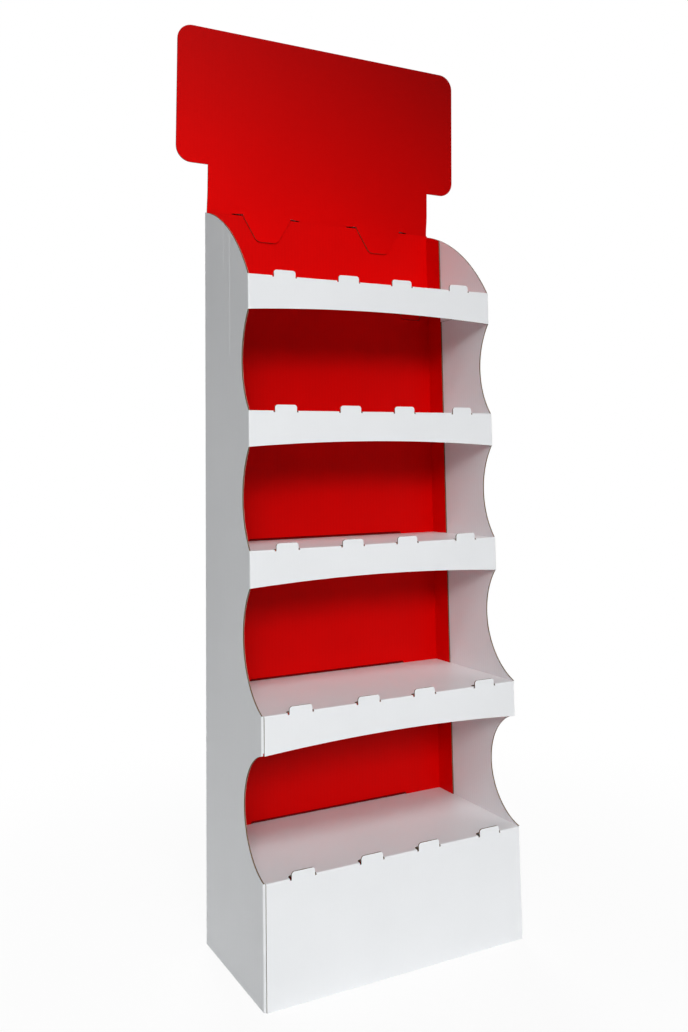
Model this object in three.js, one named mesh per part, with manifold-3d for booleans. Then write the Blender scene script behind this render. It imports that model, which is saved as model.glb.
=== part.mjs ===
// Free-standing display stand of folded corrugated board: a scalloped white body, a red back
// lining, a red header card, four shelves and a base. Millimetres, +Z up, front towards -Y.
// The origin is on the floor, in the middle of the stand's own box.
import * as THREE from 'three';
import { mergeVertices } from 'three/addons/utils/BufferGeometryUtils.js';
import Module from 'manifold-3d';

const wasm = await Module();
wasm.setup();

// Board
const board = 2.5; // thickness of every sheet
const foldRadius = 2.5; // outside of a fold in a shelf
const cornerRadius = 3.5; // outside of a fold in the body
const gap = 0.3; // between two sheets that are glued or lie together
const over = 1; // how far a cutting shape runs past the sheet that it cuts
const arcSteps = 20; // straight pieces in one scallop or arched edge
const roundSteps = 5; // straight pieces in one rounded corner

// Body
const bodyWidth = 500;
const bodyDepth = 266;
const baseHeight = 191; // floor to the base's deck
const baseBay = 254.5; // from each deck to the next one up
const lowerBay = 257.5;
const upperBay = 234;
const topBay = 157; // from the top shelf's deck to the top of the body
const frontFlapWidth = 30; // front flaps turned inwards behind the aprons
const frontFlapRise = 4; // from an arched apron's lower edge to the flap's, so that it stays hidden
const scallopDepth = 30; // how far the side is cut back between two shelves of the same reach
const topArcRise = 25; // bulge of the convex edge over the top shelf
const lowerScallopBottom = 82; // how far back the two lower scallops reach, from the base's front
const lowerScallopRise = 122.5; // height of the deepest point over the fourth shelf
const backRise = 6; // height of the back panel's middle above its corners, behind the header
const backRiseInset = 12; // from the neck's edge to the end of that rise

// Shelves: the height of the deck, how far its front stands back from the base's front, the
// height of the apron at its ends, the rise of its lower edge in the middle, and the distance
// from the body's side face to the apron's end, which is rounded where it is flush
const apronHeight = 61.5;
const apronArch = 9;
const upperSetback = 48.5;
const lowerSetback = 2;
const lowerInset = 4;
const lowerDeck = baseHeight + baseBay;
const thirdDeck = lowerDeck + lowerBay;
const secondDeck = thirdDeck + upperBay;
const topDeck = secondDeck + upperBay;
const bodyHeight = topDeck + topBay;
const upper = { setback: upperSetback, apron: apronHeight, arch: apronArch, inset: 0 };
const tiers = [
  { name: 'shelf_1', deck: topDeck, ...upper },
  { name: 'shelf_2', deck: secondDeck, ...upper },
  { name: 'shelf_3', deck: thirdDeck, ...upper },
  { name: 'shelf_4', deck: lowerDeck, ...upper, setback: lowerSetback, inset: lowerInset },
  { name: 'base_front', deck: baseHeight, setback: 0, apron: baseHeight, arch: 0, inset: lowerInset },
];
const sideFlangeHeight = 35;
const tongueWidth = 326;
const tongueLip = 25; // the part of the tongue turned down behind the lining

// Stops that stand up from the apron, and the holes that they leave in the deck
const stopWidth = 41;
const stopHeight = 10;
const stopRadius = 5;
const stopCentres = [-181.5, -55.5, 55.5, 181.5];
const stopRelief = 3; // how much wider the hole is at each side
const stopHoleExtra = 1; // how much longer the hole is than the stop

// Back lining
const liningFlange = 48; // width of the flange glued to each side
const slotWidth = 332;
const slotRise = 4.4; // open height above the deck
const slotRadius = 3;
const handTabLeft = 173; // die-cut tab under the top shelf
const handTabRight = 230;
const handTabDrop = 6; // from the top shelf's deck to the tab's top
const handTabHeight = 20.5;
const handTabTaper = 7;
const handTabCut = 1;

// Header card
const headerWidth = 622;
const headerTop = 358; // above the lining's top edge
const headerShoulder = 92; // lower edge of the wide part, above the lining's top edge
const headerRadius = 30;
const neckWidth = 494;
const neckDrop = 54; // how far the neck goes down behind the lining
const neckFade = 40; // height over which the neck and the tabs come together in one plane
const headerLean = 2.5; // degrees forward
const neckTabCentre = 125;
const neckTabWidth = 101;
const neckTabFoot = 43;
const neckTabDrop = 49;
const neckTabRadius = 9;
const neckSlitLength = 21;
const neckSlitHeight = 2.6;

// Support inside the base
const riserWidth = 170;
const riserFlange = 30;

// Where the sheets lie, worked out from the sizes above
const halfWidth = bodyWidth / 2;
const sideInner = halfWidth - board;
const deckEnd = sideInner - gap;
const backInner = bodyDepth - board;
const headerBack = backInner - gap;
const headerFront = headerBack - board;
const liningBack = headerFront - gap;
const liningFront = liningBack - board;
const liningSide = sideInner - gap;
const liningFlangeFront = liningFront - liningFlange;
const tabBack = liningFront - gap;
const tabFront = tabBack - board;
const foldFront = (tier) => tier.setback + board + gap;
const slabBottom = (tier) => tier.deck - board;
const apronBottom = (tier) => tier.deck - tier.apron;
const apronEnd = (tier) => halfWidth - tier.inset;
const foldEnd = (tier) => Math.min(apronEnd(tier), deckEnd);

// Materials
const whiteBoard = new THREE.MeshStandardMaterial({ color: 0xdfe3e4, roughness: 0.55, metalness: 0 });
const redLining = new THREE.MeshStandardMaterial({ color: 0xc01010, roughness: 0.5, metalness: 0 });
const redHeader = new THREE.MeshStandardMaterial({ color: 0xb80808, roughness: 0.45, metalness: 0 });
const brownBoard = new THREE.MeshStandardMaterial({ color: 0xa98457, roughness: 0.85, metalness: 0 });

// A closed three.js geometry as a solid that can be cut and joined
function solid(geometry) {
  const bare = geometry.index ? geometry.toNonIndexed() : geometry;
  bare.deleteAttribute('normal');
  bare.deleteAttribute('uv');
  const merged = mergeVertices(bare, 1e-4);
  return new wasm.Manifold(new wasm.Mesh({
    numProp: 3,
    vertProperties: new Float32Array(merged.attributes.position.array),
    triVerts: new Uint32Array(merged.index.array),
  }));
}

function box(x, y, z) {
  const geometry = new THREE.BoxGeometry(x[1] - x[0], y[1] - y[0], z[1] - z[0]);
  geometry.translate((x[0] + x[1]) / 2, (y[0] + y[1]) / 2, (z[0] + z[1]) / 2);
  return solid(geometry);
}

function extrude(shape, length, steps) {
  return new THREE.ExtrudeGeometry(shape, { depth: length, bevelEnabled: false, curveSegments: steps });
}

// Outlines drawn in (y, z), (x, z) and (x, y), given their thickness along the third axis
function alongX(shape, start, end, steps = roundSteps) {
  const turn = new THREE.Matrix4().set(0, 0, 1, start, 1, 0, 0, 0, 0, 1, 0, 0, 0, 0, 0, 1);
  return solid(extrude(shape, end - start, steps).applyMatrix4(turn));
}

function alongY(shape, start, end, steps = roundSteps) {
  const turn = new THREE.Matrix4().set(1, 0, 0, 0, 0, 0, -1, end, 0, 1, 0, 0, 0, 0, 0, 1);
  return solid(extrude(shape, end - start, steps).applyMatrix4(turn));
}

function alongZ(shape, start, end, steps = roundSteps) {
  return solid(extrude(shape, end - start, steps).translate(0, 0, start));
}

function join(parts) {
  return parts.reduce((whole, part) => whole.add(part));
}

function cut(whole, parts) {
  return parts.reduce((rest, part) => rest.subtract(part), whole);
}

function ordered(a, b) {
  return [Math.min(a, b), Math.max(a, b)];
}

function outline(points) {
  return new THREE.Shape(points.map(([a, b]) => new THREE.Vector2(a, b)));
}

// Adds the circular arc from the path's last point over a middle point to an end point
function arcTo(path, middle, end) {
  const start = path.currentPoint;
  const [ax, ay, bx, by, cx, cy] = [start.x, start.y, middle[0], middle[1], end[0], end[1]];
  const d = 2 * (ax * (by - cy) + bx * (cy - ay) + cx * (ay - by));
  const a2 = ax * ax + ay * ay;
  const b2 = bx * bx + by * by;
  const c2 = cx * cx + cy * cy;
  const ux = (a2 * (by - cy) + b2 * (cy - ay) + c2 * (ay - by)) / d;
  const uy = (a2 * (cx - bx) + b2 * (ax - cx) + c2 * (bx - ax)) / d;
  const radius = Math.hypot(ax - ux, ay - uy);
  const from = Math.atan2(ay - uy, ax - ux);
  const to = Math.atan2(cy - uy, cx - ux);
  path.absarc(ux, uy, radius, from, to, d < 0);
}

function roundedOutline(left, bottom, right, top, radius) {
  const shape = new THREE.Shape();
  shape.moveTo(left + radius, bottom);
  shape.lineTo(right - radius, bottom);
  shape.absarc(right - radius, bottom + radius, radius, -Math.PI / 2, 0, false);
  shape.lineTo(right, top - radius);
  shape.absarc(right - radius, top - radius, radius, 0, Math.PI / 2, false);
  shape.lineTo(left + radius, top);
  shape.absarc(left + radius, top - radius, radius, Math.PI / 2, Math.PI, false);
  shape.lineTo(left, bottom + radius);
  shape.absarc(left + radius, bottom + radius, radius, Math.PI, 1.5 * Math.PI, false);
  return shape;
}

// Side panel, seen from the side: a scalloped front edge that steps out at every apron
function sideOutline() {
  const [first, second, third, fourth, base] = tiers;
  const shape = new THREE.Shape();
  shape.moveTo(bodyDepth, 0);
  shape.lineTo(bodyDepth, bodyHeight);
  const chord = new THREE.Vector2(foldFront(first) - bodyDepth, first.deck - bodyHeight);
  const bulge = new THREE.Vector2(chord.y, -chord.x).normalize().multiplyScalar(topArcRise);
  arcTo(
    shape,
    [bodyDepth + chord.x / 2 + bulge.x, bodyHeight + chord.y / 2 + bulge.y],
    [foldFront(first), first.deck],
  );
  const scallops = [
    [first, second, foldFront(first) + scallopDepth, (apronBottom(first) + second.deck) / 2],
    [second, third, foldFront(second) + scallopDepth, (apronBottom(second) + third.deck) / 2],
    [third, fourth, lowerScallopBottom, fourth.deck + lowerScallopRise],
    [fourth, base, lowerScallopBottom, (apronBottom(fourth) + base.deck) / 2],
  ];
  for (const [over, under, depth, middle] of scallops) {
    shape.lineTo(foldFront(over), apronBottom(over));
    arcTo(shape, [depth, middle], [foldFront(under), under.deck]);
  }
  shape.lineTo(foldFront(base), 0);
  return shape;
}

// What is cut off a sharp vertical edge at (x, y) to round it, on the side away from the body
function edgeRounding(x, y, towardsX, towardsY, radius, z) {
  const centre = [x + towardsX * radius, y + towardsY * radius];
  const block = box(
    ordered(x - towardsX * over, centre[0]),
    ordered(y - towardsY * over, centre[1]),
    z,
  );
  const round = new THREE.Shape().absarc(centre[0], centre[1], radius, 0, 2 * Math.PI, false);
  return block.subtract(alongZ(round, z[0] - over, z[1] + over, 4 * roundSteps));
}

function bodyShell() {
  const side = sideOutline();
  const riseEnd = neckWidth / 2 - backRiseInset;
  const parts = [
    alongX(side, -halfWidth, -sideInner, arcSteps),
    alongX(side, sideInner, halfWidth, arcSteps),
    box([-halfWidth, halfWidth], [backInner, bodyDepth], [0, bodyHeight]),
    box([-riseEnd, riseEnd], [backInner, bodyDepth], [bodyHeight - over, bodyHeight + backRise]),
  ];
  const cuts = [];
  for (const tier of tiers) {
    const y = foldFront(tier);
    const z = [apronBottom(tier), tier.deck];
    for (const way of [-1, 1]) {
      const flapEnds = ordered(way * halfWidth, way * (halfWidth - frontFlapWidth));
      const deckEnds = ordered(way * (halfWidth - frontFlapWidth - over), way * (foldEnd(tier) + gap));
      parts.push(box(flapEnds, [y, y + board], [z[0] + (tier.arch > 0 ? frontFlapRise : 0), z[1]]));
      cuts.push(box(deckEnds, [y - over, y + board + over], [slabBottom(tier) - gap, z[1] + over]));
      if (tier.inset > 0) {
        cuts.push(edgeRounding(way * halfWidth, y, -way, 1, cornerRadius, z));
      }
    }
  }
  for (const way of [-1, 1]) {
    cuts.push(edgeRounding(way * halfWidth, bodyDepth, -way, -1, cornerRadius, [-over, bodyHeight + over]));
  }
  return cut(join(parts), cuts);
}

function backLiner() {
  const side = sideOutline();
  const flangeRange = box([-halfWidth, halfWidth], [liningFlangeFront, liningBack], [0, bodyHeight]);
  const parts = [
    alongX(side, -liningSide, -liningSide + board, arcSteps).intersect(flangeRange),
    alongX(side, liningSide - board, liningSide, arcSteps).intersect(flangeRange),
    box([-liningSide, liningSide], [liningFront, liningBack], [0, bodyHeight]),
  ];
  const cuts = [];
  for (const tier of tiers) {
    const slotBottom = slabBottom(tier) - gap;
    cuts.push(alongY(
      roundedOutline(-slotWidth / 2, slotBottom, slotWidth / 2, tier.deck + slotRise, slotRadius),
      liningFront - over,
      liningBack + over,
    ));
  }
  for (const way of [-1, 1]) {
    cuts.push(edgeRounding(way * liningSide, liningBack, -way, -1, foldRadius, [-over, bodyHeight + over]));
  }
  const tabTop = topDeck - handTabDrop;
  const tabBottom = tabTop - handTabHeight;
  const outer = outline([
    [handTabLeft, tabTop],
    [handTabLeft + handTabTaper, tabBottom],
    [handTabRight - handTabTaper, tabBottom],
    [handTabRight, tabTop],
  ]);
  const inner = outline([
    [handTabLeft + handTabCut, tabTop + handTabCut],
    [handTabLeft + handTabTaper + handTabCut, tabBottom + handTabCut],
    [handTabRight - handTabTaper - handTabCut, tabBottom + handTabCut],
    [handTabRight - handTabCut, tabTop + handTabCut],
  ]);
  const tabCut = alongY(outer, liningFront - over, liningBack + over)
    .subtract(alongY(inner, liningFront - 2 * over, liningBack + 2 * over));
  return cut(join(parts), [...cuts, tabCut]);
}

// The outline of a tab that hangs from (centre, 0): straight down from its top to there, then
// narrower to its round lower corners
function tabOutline(centre, width, foot, drop, radius, top) {
  const taper = (width - foot) / 2;
  const slope = Math.hypot(taper, drop);
  const alongSlope = [taper / slope * radius, drop / slope * radius];
  const shape = new THREE.Shape();
  const left = centre - width / 2;
  const right = centre + width / 2;
  shape.moveTo(left, top);
  shape.lineTo(left, 0);
  shape.lineTo(left + taper - alongSlope[0], -drop + alongSlope[1]);
  shape.quadraticCurveTo(left + taper, -drop, left + taper + radius, -drop);
  shape.lineTo(right - taper - radius, -drop);
  shape.quadraticCurveTo(right - taper, -drop, right - taper + alongSlope[0], -drop + alongSlope[1]);
  shape.lineTo(right, 0);
  shape.lineTo(right, top);
  return shape;
}

// A sheet of the header's thickness with a grid of corners at the given x and z, each pushed
// forward from the header's own plane
function pushedSheet(acrossAt, upAt, push) {
  const across = acrossAt.length - 1;
  const up = upAt.length - 1;
  const geometry = new THREE.BoxGeometry(1, 1, 1, across, 1, up);
  const corners = geometry.attributes.position;
  for (let i = 0; i < corners.count; i += 1) {
    const x = acrossAt[Math.round((corners.getX(i) + 0.5) * across)];
    const z = upAt[Math.round((corners.getZ(i) + 0.5) * up)];
    const plane = corners.getY(i) < 0 ? headerFront : headerBack;
    corners.setXYZ(i, x, plane - push(x, z), z);
  }
  return solid(geometry);
}

// The neck stands behind the lining and its two tabs hang in front of it. Above the lining's
// edge both swing to the plane half way between them, in which the rest of the card stands
function headerCard() {
  const slitTop = bodyHeight + neckSlitHeight;
  const overlap = bodyHeight + neckSlitHeight / 2;
  const lean = Math.tan(THREE.MathUtils.degToRad(headerLean));
  const tabHalf = neckTabWidth / 2;
  const push = (x, z) => {
    const beside = Math.abs(Math.abs(x) - neckTabCentre) - tabHalf;
    const across = 1 - THREE.MathUtils.smoothstep(beside, 0, neckSlitLength);
    const apart = 1 - THREE.MathUtils.smoothstep(z, slitTop, slitTop + neckFade);
    const half = (headerFront - tabFront) / 2;
    return half + half * (2 * across - 1) * apart + Math.max(0, z - slitTop) * lean;
  };
  const steps = Array.from({ length: roundSteps + 2 }, (_, i) => i / (roundSteps + 1));
  const acrossAt = [-headerWidth / 2];
  for (const centre of [-neckTabCentre, neckTabCentre]) {
    acrossAt.push(...steps.map((t) => centre - tabHalf - (1 - t) * neckSlitLength));
    acrossAt.push(...steps.map((t) => centre + tabHalf + t * neckSlitLength));
  }
  acrossAt.push(headerWidth / 2);
  const upAt = [bodyHeight, ...steps.map((t) => slitTop + t * neckFade), bodyHeight + headerTop];
  const wide = alongY(
    roundedOutline(
      -headerWidth / 2,
      bodyHeight + headerShoulder,
      headerWidth / 2,
      bodyHeight + headerTop,
      headerRadius,
    ),
    0,
    bodyDepth,
  );
  const stem = box([-neckWidth / 2, neckWidth / 2], [0, bodyDepth], [bodyHeight - over, bodyHeight + headerShoulder + over]);
  const card = pushedSheet(acrossAt, upAt, push).intersect(wide.add(stem));
  const neck = box([-neckWidth / 2, neckWidth / 2], [headerFront, headerBack], [bodyHeight - neckDrop, overlap]);
  const cardCuts = [];
  const neckCuts = [];
  const tabs = [];
  for (const centre of [-neckTabCentre, neckTabCentre]) {
    const reach = tabHalf + neckSlitLength;
    for (const way of [-1, 1]) {
      const slit = ordered(centre + way * tabHalf, centre + way * reach);
      cardCuts.push(box(slit, [0, bodyDepth], [bodyHeight - over, slitTop]));
    }
    neckCuts.push(box([centre - reach, centre + reach], [0, bodyDepth], [bodyHeight - gap, slitTop]));
    neckCuts.push(alongY(
      tabOutline(centre, neckTabWidth + 2 * gap, neckTabFoot, neckTabDrop, neckTabRadius, over),
      headerFront - over,
      headerBack + over,
    ).translate([0, 0, bodyHeight]));
    tabs.push(alongY(
      tabOutline(centre, neckTabWidth, neckTabFoot, neckTabDrop, neckTabRadius, neckSlitHeight / 2),
      tabFront,
      tabBack,
    ).translate([0, 0, bodyHeight]));
  }
  return join([cut(card, cardCuts), cut(neck, neckCuts), ...tabs]);
}

// A tongue with a square foot and two round corners at its tip
function tongueOutline(centre, width, foot, tip, radius) {
  const left = centre - width / 2;
  const right = centre + width / 2;
  const shape = new THREE.Shape();
  shape.moveTo(left, foot);
  shape.lineTo(right, foot);
  shape.lineTo(right, tip - radius);
  shape.absarc(right - radius, tip - radius, radius, 0, Math.PI / 2, false);
  shape.lineTo(left + radius, tip);
  shape.absarc(left + radius, tip - radius, radius, Math.PI / 2, Math.PI, false);
  return shape;
}

function stops(tier) {
  const foot = tier.deck - foldRadius - stopHeight;
  return stopCentres.map((centre) => alongY(
    tongueOutline(centre, stopWidth, foot, tier.deck + stopHeight, stopRadius),
    tier.setback,
    tier.setback + board,
  ));
}

function stopHoles(tier) {
  const width = stopWidth + 2 * stopRelief;
  const tip = tier.setback + board + stopHeight + stopHoleExtra;
  return stopCentres.map((centre) => alongZ(
    tongueOutline(centre, width, tier.setback - over, tip, stopRadius + stopRelief),
    slabBottom(tier) - gap,
    tier.deck + over,
  ));
}

// A deck with the apron that hangs from its front edge, all from one sheet
function foldedShelf(tier) {
  const front = tier.setback;
  const low = apronBottom(tier);
  const bottom = slabBottom(tier);
  const end = apronEnd(tier);
  const rear = liningFlangeFront - gap;
  const apronProfile = new THREE.Shape();
  apronProfile.moveTo(front, low);
  apronProfile.lineTo(front, tier.deck - foldRadius);
  apronProfile.absarc(front + foldRadius, tier.deck - foldRadius, foldRadius, Math.PI, Math.PI / 2, true);
  const deckProfile = apronProfile.clone();
  apronProfile.lineTo(front + board, tier.deck);
  apronProfile.lineTo(front + board, low);
  deckProfile.lineTo(liningFront - gap, tier.deck);
  deckProfile.lineTo(liningFront - gap, bottom);
  deckProfile.lineTo(front + board, bottom);
  deckProfile.lineTo(front + board, low);
  const rearEnd = liningSide - board - gap;
  const flangeFront = foldFront(tier) + board + gap;
  const rearCuts = [-1, 1].map((way) => box(
    ordered(way * rearEnd, way * halfWidth),
    [rear, liningBack],
    [low, tier.deck + over],
  ));
  const parts = [
    cut(alongX(deckProfile, -foldEnd(tier), foldEnd(tier)), rearCuts),
    alongX(apronProfile, -end, end),
    box([-deckEnd, deckEnd], [flangeFront, rear], [bottom, tier.deck]),
    box([-tongueWidth / 2, tongueWidth / 2], [liningFront - over, headerBack], [bottom, tier.deck]),
    box([-tongueWidth / 2, tongueWidth / 2], [headerFront, headerBack], [tier.deck - tongueLip, tier.deck]),
  ];
  const cuts = stopHoles(tier);
  for (const way of [-1, 1]) {
    const flange = ordered(way * deckEnd, way * (deckEnd - board));
    parts.push(box(flange, [flangeFront, rear], [tier.deck - sideFlangeHeight, tier.deck]));
    if (tier.inset === 0) {
      cuts.push(edgeRounding(way * end, front, -way, 1, foldRadius, [low - over, tier.deck + over]));
    }
  }
  if (tier.arch > 0) {
    const arch = new THREE.Shape();
    arch.moveTo(-end, low);
    arcTo(arch, [0, low + tier.arch], [end, low]);
    cuts.push(alongY(arch, front - over, front + board + over, arcSteps));
  }
  return join([cut(join(parts), cuts), ...stops(tier)]);
}

// A folded sheet on the floor inside the base, with two walls up to the deck
function baseRiser() {
  const base = tiers[tiers.length - 1];
  const top = slabBottom(base) - gap;
  const half = riserWidth / 2;
  const shape = outline([
    [-half, 0],
    [half, 0],
    [half, top - board],
    [half + riserFlange, top - board],
    [half + riserFlange, top],
    [half - board, top],
    [half - board, board],
    [-half + board, board],
    [-half + board, top],
    [-half - riserFlange, top],
    [-half - riserFlange, top - board],
    [-half, top - board],
  ]);
  return alongY(shape, foldFront(base), liningFront - gap);
}

function mesh(name, body, material) {
  const { vertProperties, triVerts } = body.getMesh();
  const geometry = new THREE.BufferGeometry();
  geometry.setAttribute('position', new THREE.BufferAttribute(new Float32Array(vertProperties), 3));
  geometry.setIndex(new THREE.BufferAttribute(new Uint32Array(triVerts), 1));
  geometry.computeVertexNormals();
  const piece = new THREE.Mesh(geometry, material);
  piece.name = name;
  return piece;
}

const stand = new THREE.Group();
stand.add(mesh('body_shell', bodyShell(), whiteBoard));
stand.add(mesh('back_liner', backLiner(), redLining));
stand.add(mesh('header_card', headerCard(), redHeader));
for (const tier of tiers) {
  stand.add(mesh(tier.name, foldedShelf(tier), whiteBoard));
}
stand.add(mesh('base_riser', baseRiser(), brownBoard));

// The front is at y = 0 above; the stand's own origin is in the middle of its depth
stand.position.y = -bodyDepth / 2;

export default stand;
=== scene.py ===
import math

import bmesh
import bpy
from mathutils import Matrix, Vector
from mathutils.bvhtree import BVHTree


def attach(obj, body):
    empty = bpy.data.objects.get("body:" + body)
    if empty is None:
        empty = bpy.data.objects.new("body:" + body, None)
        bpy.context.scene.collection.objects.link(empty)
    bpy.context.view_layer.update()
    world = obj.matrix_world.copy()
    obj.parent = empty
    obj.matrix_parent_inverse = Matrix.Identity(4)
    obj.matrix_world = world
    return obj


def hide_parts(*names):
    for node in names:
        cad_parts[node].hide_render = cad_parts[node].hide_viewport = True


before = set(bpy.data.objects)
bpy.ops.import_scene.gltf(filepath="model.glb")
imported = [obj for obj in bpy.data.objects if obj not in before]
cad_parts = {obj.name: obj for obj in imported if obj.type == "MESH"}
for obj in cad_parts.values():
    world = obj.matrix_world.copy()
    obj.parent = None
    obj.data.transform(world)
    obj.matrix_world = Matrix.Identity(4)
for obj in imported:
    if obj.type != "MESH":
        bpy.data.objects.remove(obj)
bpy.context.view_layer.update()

# The view
# The stand is seen from its front left, a little above the second shelf from the floor up.
# The picture was cropped from a taller one, so the lens is shifted down.
eye = Vector((-0.8780, -1.6265, 0.8367))
turned_right = math.radians(27.96)
tilted_up = math.radians(5.67)
rolled = math.radians(-0.95)
lens_for_36_mm_of_height = 34.42
picture_height = 36.0
shift_right = -0.0043
shift_up = -0.1411

ahead = Vector(
    (
        math.sin(turned_right) * math.cos(tilted_up),
        math.cos(turned_right) * math.cos(tilted_up),
        math.sin(tilted_up),
    )
)
level_right = Vector((math.cos(turned_right), -math.sin(turned_right), 0))
level_up = level_right.cross(ahead)
right = level_right * math.cos(rolled) + level_up * math.sin(rolled)
up = right.cross(ahead)
camera_data = bpy.data.cameras.new("camera")
camera_data.sensor_fit = "VERTICAL"
camera_data.sensor_height = picture_height
camera_data.lens = lens_for_36_mm_of_height
camera_data.shift_x = shift_right
camera_data.shift_y = shift_up
camera = bpy.data.objects.new("camera", camera_data)
camera.matrix_world = Matrix(
    (
        (right.x, up.x, -ahead.x, eye.x),
        (right.y, up.y, -ahead.y, eye.y),
        (right.z, up.z, -ahead.z, eye.z),
        (0, 0, 0, 1),
    )
)
bpy.context.scene.collection.objects.link(camera)
bpy.context.scene.camera = camera
bpy.context.scene.view_settings.view_transform = "Standard"

# The light
# Four big soft boxes with grids stand well in front of the stand, two of them high up, and
# aim at its lower half. A fifth lights its back. The room shows as plain white.
soft_boxes = (
    ("front_soft_box", (-2.4, -5.8, 2.9), (-0.4, 0, 0.2), (3.0, 1.4), 31.5),
    ("high_soft_box", (-1.4, -3.6, 4.2), (-0.3, 0, 0.2), (2.4, 1.2), 8),
    ("right_soft_box", (0.3, -3.4, 4.4), (0, 0, 0.2), (2.4, 1.2), 8.5),
    ("left_soft_box", (-4.4, -4.4, 2.9), (-0.4, 0, 0.2), (2.4, 1.4), 4.5),
    ("back_soft_box", (1.6, 5.2, 2.6), (0, 0, 0.8), (2.4, 1.6), 26),
)
grid_opening = math.radians(68)

for name, place, aim, size, watts in soft_boxes:
    data = bpy.data.lights.new(name, "AREA")
    data.shape = "RECTANGLE"
    data.size, data.size_y = size
    data.energy = watts
    data.spread = grid_opening
    lamp = bpy.data.objects.new(name, data)
    lamp.location = place
    lamp.rotation_euler = (Vector(aim) - Vector(place)).to_track_quat("-Z", "Y").to_euler()
    bpy.context.scene.collection.objects.link(lamp)


def feed(tree, socket, value):
    """Links a shade or another node's socket into a socket, or writes a plain value there."""
    if isinstance(value, Shade):
        value = value.socket
    if isinstance(value, bpy.types.NodeSocket):
        tree.links.new(value, socket)
    else:
        socket.default_value = value


def add_node(tree, kind, settings=None, sockets=None):
    """Makes a node of one kind: its settings are made first, then its sockets are filled."""
    node = tree.nodes.new(kind)
    for name, value in (settings or {}).items():
        setattr(node, name, value)
    for name, value in (sockets or {}).items():
        feed(tree, node.inputs[name], value)
    return node


class Shade:
    """A socket of a node tree that Python's operators work on."""

    def __init__(self, tree, socket):
        self.tree = tree
        self.socket = socket

    def maths(self, operation, *others, first=None):
        values = (self, *others) if first is None else (first, self)
        node = add_node(self.tree, "ShaderNodeMath", {"operation": operation}, dict(enumerate(values)))
        return Shade(self.tree, node.outputs[0])

    def __add__(self, other):
        return self.maths("ADD", other)

    def __radd__(self, other):
        return self.maths("ADD", first=other)

    def __sub__(self, other):
        return self.maths("SUBTRACT", other)

    def __rsub__(self, other):
        return self.maths("SUBTRACT", first=other)

    def __mul__(self, other):
        return self.maths("MULTIPLY", other)

    def __rmul__(self, other):
        return self.maths("MULTIPLY", first=other)

    def below(self, limit, soft):
        """1 where the value is under the limit, falling to 0 over the soft range."""
        sockets = {
            "Value": self,
            "From Min": limit - soft,
            "From Max": limit + soft,
            "To Min": 1,
            "To Max": 0,
        }
        node = add_node(self.tree, "ShaderNodeMapRange", {"interpolation_type": "SMOOTHSTEP"}, sockets)
        return Shade(self.tree, node.outputs["Result"])


def seen_itself(tree):
    """1 or more on a ray that shows a thing straight, in a mirror or through glass."""
    rays = add_node(tree, "ShaderNodeLightPath").outputs
    straight = Shade(tree, rays["Is Camera Ray"])
    mirrored = Shade(tree, rays["Is Glossy Ray"])
    through_glass = Shade(tree, rays["Is Transmission Ray"])
    return straight + mirrored + through_glass


full_white = (1, 1, 1, 1)
fill_colour = (0.95, 0.97, 1.0, 1)
fill_strength = 0.02

room = bpy.data.worlds.new("room")
room.use_nodes = True
bpy.context.scene.world = room
room_tree = room.node_tree
room_tree.nodes.clear()
room_fill = add_node(
    room_tree, "ShaderNodeBackground", sockets={"Color": fill_colour, "Strength": fill_strength}
)
room_seen = add_node(room_tree, "ShaderNodeBackground", sockets={"Color": full_white, "Strength": 1.0})
room_parts = {
    0: seen_itself(room_tree).maths("MINIMUM", 1.0),
    1: room_fill.outputs[0],
    2: room_seen.outputs[0],
}
room_mix = add_node(room_tree, "ShaderNodeMixShader", sockets=room_parts)
add_node(room_tree, "ShaderNodeOutputWorld", sockets={"Surface": room_mix.outputs[0]})

# The body shell
# One sheet of white-lined corrugated board, folded into a back and two sides whose front
# edges are die-cut in scallops. Narrow flaps are turned in and glued behind each apron.


class Finish:
    """A material whose nodes are made one by one, around one Principled shader."""

    def __init__(self, name, roughness, specular=0.5):
        self.material = bpy.data.materials.new(name)
        self.material.use_nodes = True
        self.tree = self.material.node_tree
        self.shader = self.tree.nodes["Principled BSDF"]
        self.give("Roughness", roughness)
        self.give("Specular IOR Level", specular)

    def give(self, name, value):
        """Gives one of the shader's own sockets a value or a link."""
        feed(self.tree, self.shader.inputs[name], value)

    def node(self, kind, settings=None, sockets=None):
        return add_node(self.tree, kind, settings, sockets)

    def place(self):
        return self.node("ShaderNodeTexCoord").outputs["Object"]

    def flutes(self):
        """Where a point lies across the flutes, and how deep it lies in a cut board."""
        flute_map = self.node("ShaderNodeUVMap", {"uv_map": "flute"}).outputs[0]
        return self.split(flute_map)[:2]

    def split(self, vector):
        parts = self.node("ShaderNodeSeparateXYZ", sockets={"Vector": vector})
        return [Shade(self.tree, part) for part in parts.outputs]

    def noise(self, per_metre, detail, seed=0.0):
        shifts = {"Vector": self.place(), "Location": (seed, seed, seed)}
        shifted = self.node("ShaderNodeMapping", sockets=shifts).outputs[0]
        sockets = {"Vector": shifted, "Scale": per_metre, "Detail": detail}
        return Shade(self.tree, self.node("ShaderNodeTexNoise", sockets=sockets).outputs["Fac"])

    def blend(self, factor, low, high):
        """Mixes two colours, for which a Mix node has its sockets 6 and 7, and 2 for the result."""
        sockets = {0: factor, 6: low, 7: high}
        return self.node("ShaderNodeMix", {"data_type": "RGBA"}, sockets).outputs[2]

    def relief(self, height, depth):
        sockets = {"Height": height, "Distance": depth, "Strength": 1.0}
        self.give("Normal", self.node("ShaderNodeBump", sockets=sockets).outputs[0])


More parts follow.
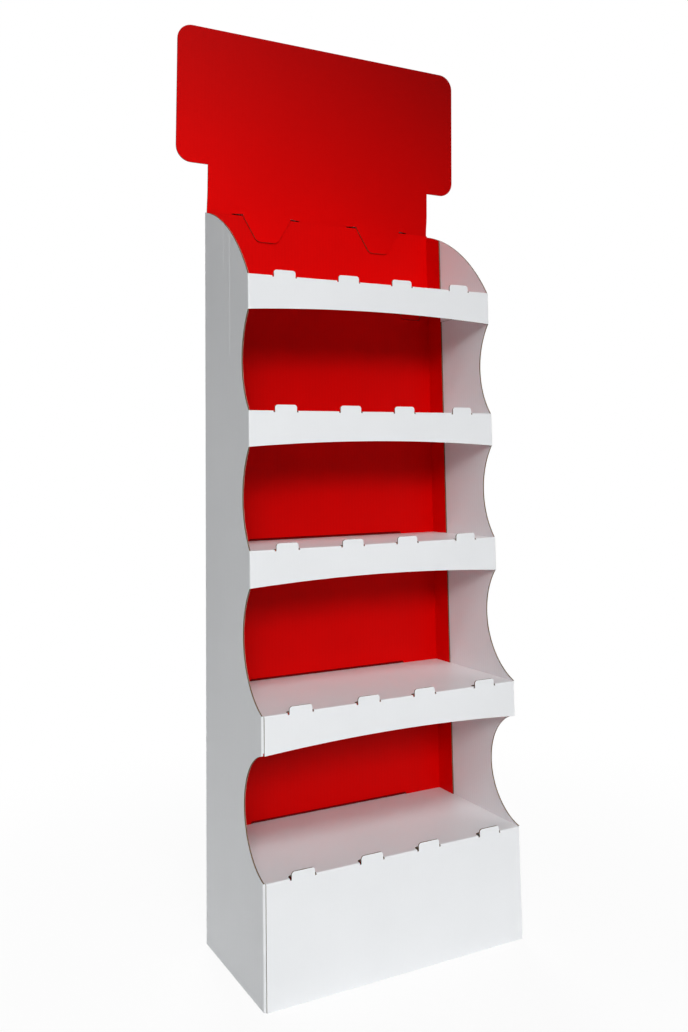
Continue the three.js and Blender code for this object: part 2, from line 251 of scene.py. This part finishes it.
def linear(red, green, blue):
    """A colour as a picture holds it, made linear."""

    def channel(value):
        value = value / 255
        return value / 12.92 if value <= 0.04045 else ((value + 0.055) / 1.055) ** 2.4

    return (channel(red), channel(green), channel(blue), 1)


board = 0.0025
flute_pitch = 0.007
full_turn = 2 * math.pi
clouds_per_metre = 7
patches_per_metre = 2.2
grains_per_metre = 900
fibres_per_metre = 1500
print_relief = 0.0004
cut_relief = 0.0008


def printed_face(
    name, low, high, roughness, washboard, specular=0.5, creases=None, fade=None, deep=None
):
    """The outside of a sheet: its coat of white or red over the flutes that show through."""
    finish = Finish(name, roughness, specular)
    across, through = finish.flutes()
    ribs = (across * full_turn).maths("SINE")
    cloudy = finish.noise(clouds_per_metre, detail=3)
    grain = finish.noise(grains_per_metre, detail=2, seed=3)
    uneven = finish.noise(patches_per_metre, detail=2, seed=7)
    cloud_tone = 0.6
    grain_tone = 0.25
    rib_tone = 0.8 * washboard
    base_tone = 0.1
    tone = cloudy * cloud_tone + grain * grain_tone + ribs * rib_tone + base_tone
    print_colour = finish.blend(tone, low, high)
    # A given fade blends the print into a darker colour, as painted shade.
    if fade:
        print_colour = finish.blend(fade(finish), print_colour, deep)
    finish.give("Base Color", print_colour)
    rib_height = uneven * 0.8 + 0.5
    grain_height = 0.02
    cloud_height = 0.15
    height = ribs * washboard * rib_height + grain * grain_height + cloudy * cloud_height
    if creases:
        height = height + creases(finish)
    finish.relief(height, print_relief)
    roughness_range = 0.12
    finish.give("Roughness", uneven * roughness_range + (roughness - roughness_range / 2))
    return finish.material


def cut_board(name, brown, dark, liner):
    """A raw cut: two liners with the brown wave of the flutes between them, and painted shade in the
    hollows.
    """
    wave_height = 0.33
    half_paper = 0.11
    liner_from = 0.40
    fibre_tone = 0.35
    fibre_height = 0.2
    finish = Finish(name, roughness=0.9, specular=0.2)
    across, through = finish.flutes()
    wave = (across * full_turn).maths("SINE") * wave_height
    paper = (through - wave).maths("ABSOLUTE").below(half_paper, soft=0.03)
    skin = 1 - through.maths("ABSOLUTE").below(liner_from, soft=0.02)
    fibre = finish.noise(fibres_per_metre, detail=2)
    # The hollows between the paper wave are painted dark, as painted shade inside the open flutes; the
    # fibre noise darkens the cut further, as grain.
    hollow_shade = finish.blend(paper, dark, brown)
    edge = finish.blend(skin, hollow_shade, liner)
    finish.give("Base Color", finish.blend(fibre * fibre_tone, edge, dark))
    finish.relief((paper + skin).maths("MINIMUM", 1.0) + fibre * fibre_height, cut_relief)
    return finish.material


just_inside = 0.0002
far_away = 10.0
printed_side = 0
cut_side = 1


def reach(solid, start, direction):
    """How far it is from a point inside a sheet to the sheet's next face."""
    hit, normal, number, distance = solid.ray_cast(start, direction)
    return far_away if hit is None else distance


def tell_cut_faces(work, solid):
    """Marks each flat face as cut where the sheet is deeper behind most of it than one board."""
    same_way = 0.9999
    one_board = 1.5 * board
    unseen = set(work.faces)
    while unseen:
        flat = [unseen.pop()]
        printed = 0.0
        raw = 0.0
        for part in flat:
            inside = part.calc_center_median() - part.normal * just_inside
            if reach(solid, inside, -part.normal) < one_board:
                printed += part.calc_area()
            else:
                raw += part.calc_area()
            for edge in part.edges:
                for other in edge.link_faces:
                    if other in unseen and other.normal.dot(flat[0].normal) > same_way:
                        unseen.remove(other)
                        flat.append(other)
        for part in flat:
            part.material_index = cut_side if raw > printed else printed_side


def flutes_on_print(part, flute, wave_axis):
    """Lays the flutes along a printed face. The three axes add up to 3."""
    facing = max(range(3), key=lambda axis: abs(part.normal[axis]))
    across = wave_axis[facing]
    along = 3 - across - facing
    for loop in part.loops:
        spot = loop.vert.co
        loop[flute].uv = (spot[across] / flute_pitch, spot[along] / flute_pitch)


def flutes_on_cut(part, flute, wave_axis, solid):
    """Lays the flutes along a cut, with the board's thickness on its shortest way through."""
    square_to_cut = 0.75
    inside = part.calc_center_median() - part.normal * just_inside
    spans = []
    for axis in range(3):
        if abs(part.normal[axis]) <= square_to_cut:
            step = Vector([1.0 if k == axis else 0.0 for k in range(3)])
            forward = reach(solid, inside, step)
            back = reach(solid, inside, -step)
            spans.append((forward + back, axis, inside[axis] + (forward - back) / 2))
    span, thin_axis, middle = min(spans)
    across = wave_axis[thin_axis]
    for loop in part.loops:
        spot = loop.vert.co
        loop[flute].uv = (spot[across] / flute_pitch, (spot[thin_axis] - middle) / max(span, board))


def made_plain(piece):
    """Turns what a piece's modifiers make into a plain mesh of its own."""
    graph = bpy.context.evaluated_depsgraph_get()
    plain = bpy.data.meshes.new_from_object(piece.evaluated_get(graph))
    piece.modifiers.clear()
    piece.data = plain


def soften_edges(piece):
    """Rounds every sharp edge a little, as pressed board is, and keeps the flat faces flat."""
    sharp_from = math.radians(50)
    soften = piece.modifiers.new("soft_edge", "BEVEL")
    soften.width = board / 10
    soften.segments = 2
    soften.limit_method = "ANGLE"
    soften.angle_limit = sharp_from
    soften.harden_normals = False
    even = piece.modifiers.new("even_shading", "WEIGHTED_NORMAL")
    even.keep_sharp = False
    made_plain(piece)


def board_sheet(node, name, face, cut, wave_axis):
    """A CAD sheet made again with soft edges, its cut faces told from its printed ones."""
    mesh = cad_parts[node].data.copy()
    mesh.materials.clear()
    mesh.materials.append(face)
    mesh.materials.append(cut)
    work = bmesh.new()
    work.from_mesh(mesh)
    touching = 1e-6
    bmesh.ops.remove_doubles(work, verts=work.verts, dist=touching)
    bmesh.ops.dissolve_degenerate(work, edges=work.edges, dist=touching)
    solid = BVHTree.FromBMesh(work)
    flute = work.loops.layers.uv.new("flute")
    tell_cut_faces(work, solid)
    for part in work.faces:
        part.smooth = True
        if part.material_index == printed_side:
            flutes_on_print(part, flute, wave_axis)
        else:
            flutes_on_cut(part, flute, wave_axis, solid)
    same_plane = math.radians(0.1)
    bmesh.ops.dissolve_limit(
        work, angle_limit=same_plane, verts=work.verts, edges=work.edges, delimit={"MATERIAL", "UV"}
    )
    work.to_mesh(mesh)
    work.free()
    piece = bpy.data.objects.new(name, mesh)
    bpy.context.scene.collection.objects.link(piece)
    soften_edges(piece)
    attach(piece, "root")
    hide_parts(node)
    return piece


coat_low = linear(225, 227, 229)
coat_high = linear(236, 238, 240)
kraft = linear(178, 143, 104)
# A darker kraft: painted shade in the flutes' hollows, and the dark of the fibres as grain.
dark_kraft_and_hollow_shade = linear(88, 66, 46)
white_liner = linear(205, 203, 196)


# Where each crease lies from the body's middle and how far down it runs.
creases = ((0.034, 1.2), (0.003, 1.04))
crease_width = 0.0016
crease_fade = 0.03
crease_step = 2.2
just_under_the_side = 0.2488


def side_creases(finish):
    """Two faint score lines run down each side from the rounded top, one further than the other."""
    x, y, z = finish.split(finish.place())
    steps = 0
    for place, foot in creases:
        steps = steps + (1 - y.below(place, crease_width)) * (1 - z.below(foot, crease_fade))
    on_side = 1 - x.maths("ABSOLUTE").below(just_under_the_side, soft=0.0004)
    return steps * on_side * crease_step


white_face = printed_face(
    "white_coat", coat_low, coat_high, roughness=0.5, washboard=0.12, creases=side_creases
)
white_cut = cut_board("white_cut", kraft, dark_kraft_and_hollow_shade, white_liner)
# The axis that the flutes' wave runs along, for a face towards x, y or z.
upright_flutes = {0: 1, 1: 0, 2: 0}
board_sheet(
    "body_shell", "body_shell_sheet", white_face, white_cut, upright_flutes
)

# The back lining
# One sheet printed solid red, with a narrow flange glued to each side. A slot behind every
# deck takes that shelf's tongue, and a small hand tab is cut under the top shelf.
red_low = linear(209, 0, 0)
red_high = linear(225, 0, 0)
red_liner = linear(150, 20, 16)
red_face = printed_face(
    "red_print", red_low, red_high, roughness=0.45, washboard=0.1, specular=0.06
)
red_cut = cut_board("red_cut", kraft, dark_kraft_and_hollow_shade, red_liner)
board_sheet(
    "back_liner", "back_lining_sheet", red_face, red_cut, upright_flutes
)

# The slot flaps
# The board cut free from each slot stays on along its top edge and is pushed back by the
# tongue, so that a narrow red strip shows through what is open over the deck. Its red is
# painted far darker than the lining's, as painted shade.
deck_heights = (0.191, 0.4455, 0.703, 0.937, 1.171)
flap_front = 0.12615
flap_back = 0.1299
flap_width = 0.331
flap_height = 0.0066
flap_gap = 0.0003


def strip_tree(material):
    """Sets one thin strip on every point. The strip's width, depth and height are its inputs."""
    tree = bpy.data.node_groups.new("strips", "GeometryNodeTree")
    tree.interface.new_socket("Geometry", in_out="INPUT", socket_type="NodeSocketGeometry")
    tree.interface.new_socket("Geometry", in_out="OUTPUT", socket_type="NodeSocketGeometry")
    for name in ("Width", "Depth", "Height"):
        tree.interface.new_socket(name, in_out="INPUT", socket_type="NodeSocketFloat")
    start = add_node(tree, "NodeGroupInput").outputs
    size_parts = {"X": start["Width"], "Y": start["Depth"], "Z": start["Height"]}
    size = add_node(tree, "ShaderNodeCombineXYZ", sockets=size_parts).outputs[0]
    strip = add_node(tree, "GeometryNodeMeshCube", sockets={"Size": size}).outputs["Mesh"]
    spread = {"Points": start["Geometry"], "Instance": strip}
    strips = add_node(tree, "GeometryNodeInstanceOnPoints", sockets=spread).outputs[0]
    real = add_node(tree, "GeometryNodeRealizeInstances", sockets={"Geometry": strips}).outputs[0]
    paint = {"Geometry": real, "Material": material}
    painted = add_node(tree, "GeometryNodeSetMaterial", sockets=paint).outputs[0]
    add_node(tree, "NodeGroupOutput", sockets={"Geometry": painted})
    return tree


def laid_out(name, points, tree, sizes):
    """A node tree run on a few points, turned into a plain mesh."""
    dots = bpy.data.meshes.new(name)
    dots.from_pydata(points, [], [])
    piece = bpy.data.objects.new(name, dots)
    bpy.context.scene.collection.objects.link(piece)
    made = piece.modifiers.new(name, "NODES")
    made.node_group = tree
    for item in tree.interface.items_tree:
        if item.name in sizes and item.in_out == "INPUT":
            made[item.identifier] = sizes[item.name]
    made_plain(piece)
    return piece


# The flaps' dark red is painted shade: the same red board as the lining, painted darker.
flap_painted_shade = Finish("red_flap_painted_shade", roughness=0.6, specular=0.06)
flap_tone = flap_painted_shade.noise(60, detail=2)
flap_painted_shade.give("Base Color", flap_painted_shade.blend(flap_tone, linear(104, 0, 0), linear(122, 0, 0)))
flap_painted_shade.relief(flap_painted_shade.noise(grains_per_metre, detail=2, seed=3), depth=0.00002)
flap_middle = (flap_front + flap_back) / 2
flap_points = [(0, flap_middle, deck + flap_gap + flap_height / 2) for deck in deck_heights]
flap_sizes = {"Width": flap_width, "Depth": flap_back - flap_front, "Height": flap_height}
slot_flaps = laid_out("slot_flaps", flap_points, strip_tree(flap_painted_shade.material), flap_sizes)
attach(slot_flaps, "root")

# The header card
# A wide red card with round corners. Its neck goes down behind the lining, and two tabs are
# bent forward over the lining's top edge and hold it.
header_low = linear(222, 0, 0)
header_high = linear(234, 0, 0)
# The darker red below is painted shade, into which the header's print is blended towards its top
# right.
header_painted_shade = linear(155, 0, 0)
deepens_from_left = -0.3
deepens_from_height = 1.38
deepening_across = 0.83
deepening_up = 1.67
card_lean = math.radians(2.5)


def painted_shade_to_top_right(finish):
    """Painted shade: the card's red darkens from its foot on the left to its top right corner."""
    x, y, z = finish.split(finish.place())
    rightwards = (x - deepens_from_left) * deepening_across
    upwards = (z - deepens_from_height) * deepening_up
    return (rightwards + upwards).maths("MAXIMUM", 0.0).maths("MINIMUM", 1.0)


header_face = printed_face(
    "header_print_and_painted_shade",
    header_low,
    header_high,
    roughness=0.45,
    washboard=0.05,
    specular=0.06,
    fade=painted_shade_to_top_right,
    deep=header_painted_shade,
)
header_sheet = board_sheet(
    "header_card", "header_card_sheet", header_face, red_cut, upright_flutes
)


def evenly_shaded(piece, leaned_by):
    """Shades the card's printed sides as one even sheet across the slight bends at its tabs."""
    front = Vector((0, -math.cos(leaned_by), -math.sin(leaned_by)))
    nearly_square = 0.85
    mesh = piece.data
    shading = [Vector(corner.vector) for corner in mesh.corner_normals]
    for part in mesh.polygons:
        turned = part.normal.dot(front)
        if part.material_index == printed_side and abs(turned) > nearly_square:
            side = front if turned > 0 else -front
            for corner in part.loop_indices:
                shading[corner] = side
    mesh.normals_split_custom_set(shading)


evenly_shaded(header_sheet, card_lean)

# The header's slits
# Beside each tab the card is slit. A nearly black strip just behind each slit is painted
# shade, so that the slit shows as a dark line.
slit_middles = (0.064, 0.186)
slit_back = 0.13035
slit_level = 1.3293
slit_sizes = {"Width": 0.0215, "Depth": 0.0001, "Height": 0.0034}

# The strips' near-black brown is painted shade, seen through the slits.
slit_painted_shade = Finish("slit_shade_strip", roughness=0.9, specular=0.1)
slit_tone = slit_painted_shade.noise(400, detail=2)
slit_painted_shade.give("Base Color", slit_painted_shade.blend(slit_tone, linear(34, 8, 6), linear(52, 16, 10)))
slit_painted_shade.relief(slit_painted_shade.noise(fibres_per_metre, detail=2), depth=0.00005)
slit_points = [(side * middle, slit_back, slit_level) for side in (-1, 1) for middle in slit_middles]
header_slits = laid_out("header_slits", slit_points, strip_tree(slit_painted_shade.material), slit_sizes)
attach(header_slits, "root")

# The shelves
# Each shelf is one sheet: the deck, the arched apron folded down in front, four stops left
# standing in the apron's plane, a flange down each side and a tongue through the lining.
deck_low = linear(227, 229, 231)
deck_high = linear(238, 240, 242)
deck_face = printed_face("shelf_coat", deck_low, deck_high, roughness=0.38, washboard=0.02)
shelf_flutes = {0: 2, 1: 0, 2: 0}
for tier in ("shelf_1", "shelf_2", "shelf_3", "shelf_4"):
    board_sheet(tier, tier + "_sheet", deck_face, white_cut, shelf_flutes)

# The base
# The base deck and the tall front down to the floor are one sheet too, folded like a shelf.
# Its front stays bare.
board_sheet(
    "base_front", "base_front_sheet", deck_face, white_cut, shelf_flutes
)

# The support inside the base
# A brown sheet folded into a floor and two walls, which carries the base deck.
brown_low = linear(158, 120, 78)
brown_high = linear(182, 142, 98)
brown_liner = linear(150, 116, 78)
support_flutes = {0: 1, 1: 0, 2: 1}
brown_face = printed_face(
    "brown_kraft", brown_low, brown_high, roughness=0.8, washboard=0.2, specular=0.2
)
brown_cut = cut_board("brown_cut", kraft, dark_kraft_and_hollow_shade, brown_liner)
board_sheet(
    "base_riser", "base_support_sheet", brown_face, brown_cut, support_flutes
)

# The floor
# A plain pale floor. It keeps the stand's shadow near the stand and shows as white as the
# room further away.
floor_reach = 12.0
floor_colour = (0.9, 0.9, 0.9, 1)
shadow_reach = 0.85
shadow_fade = 0.6
shown_white_near = 0.91
shown_white_far = 1.0

floor_mesh = bpy.data.meshes.new("floor")
corners = [(x * floor_reach, y * floor_reach, 0) for x, y in ((-1, -1), (1, -1), (1, 1), (-1, 1))]
floor_mesh.from_pydata(corners, [], [(0, 1, 2, 3)])
floor = bpy.data.objects.new("floor", floor_mesh)
bpy.context.scene.collection.objects.link(floor)
floor_finish = Finish("pale_floor", roughness=0.7, specular=0.2)
floor_finish.give("Base Color", floor_colour)
floor_x, floor_y, floor_z = floor_finish.split(floor_finish.place())
floor_away = (floor_x * floor_x + floor_y * floor_y).maths("SQRT")
floor_far = 1 - floor_away.below(shadow_reach, shadow_fade)
floor_share = floor_far * (shown_white_far - shown_white_near) + shown_white_near
floor_glow = floor_finish.node("ShaderNodeEmission", sockets={"Color": full_white, "Strength": 1.0})
floor_parts = {
    0: (seen_itself(floor_finish.tree) * floor_share).maths("MINIMUM", 1.0),
    1: floor_finish.shader.outputs[0],
    2: floor_glow.outputs[0],
}
floor_mix = floor_finish.node("ShaderNodeMixShader", sockets=floor_parts)
floor_out = floor_finish.tree.nodes["Material Output"]
feed(floor_finish.tree, floor_out.inputs["Surface"], floor_mix.outputs[0])
floor_mesh.materials.append(floor_finish.material)
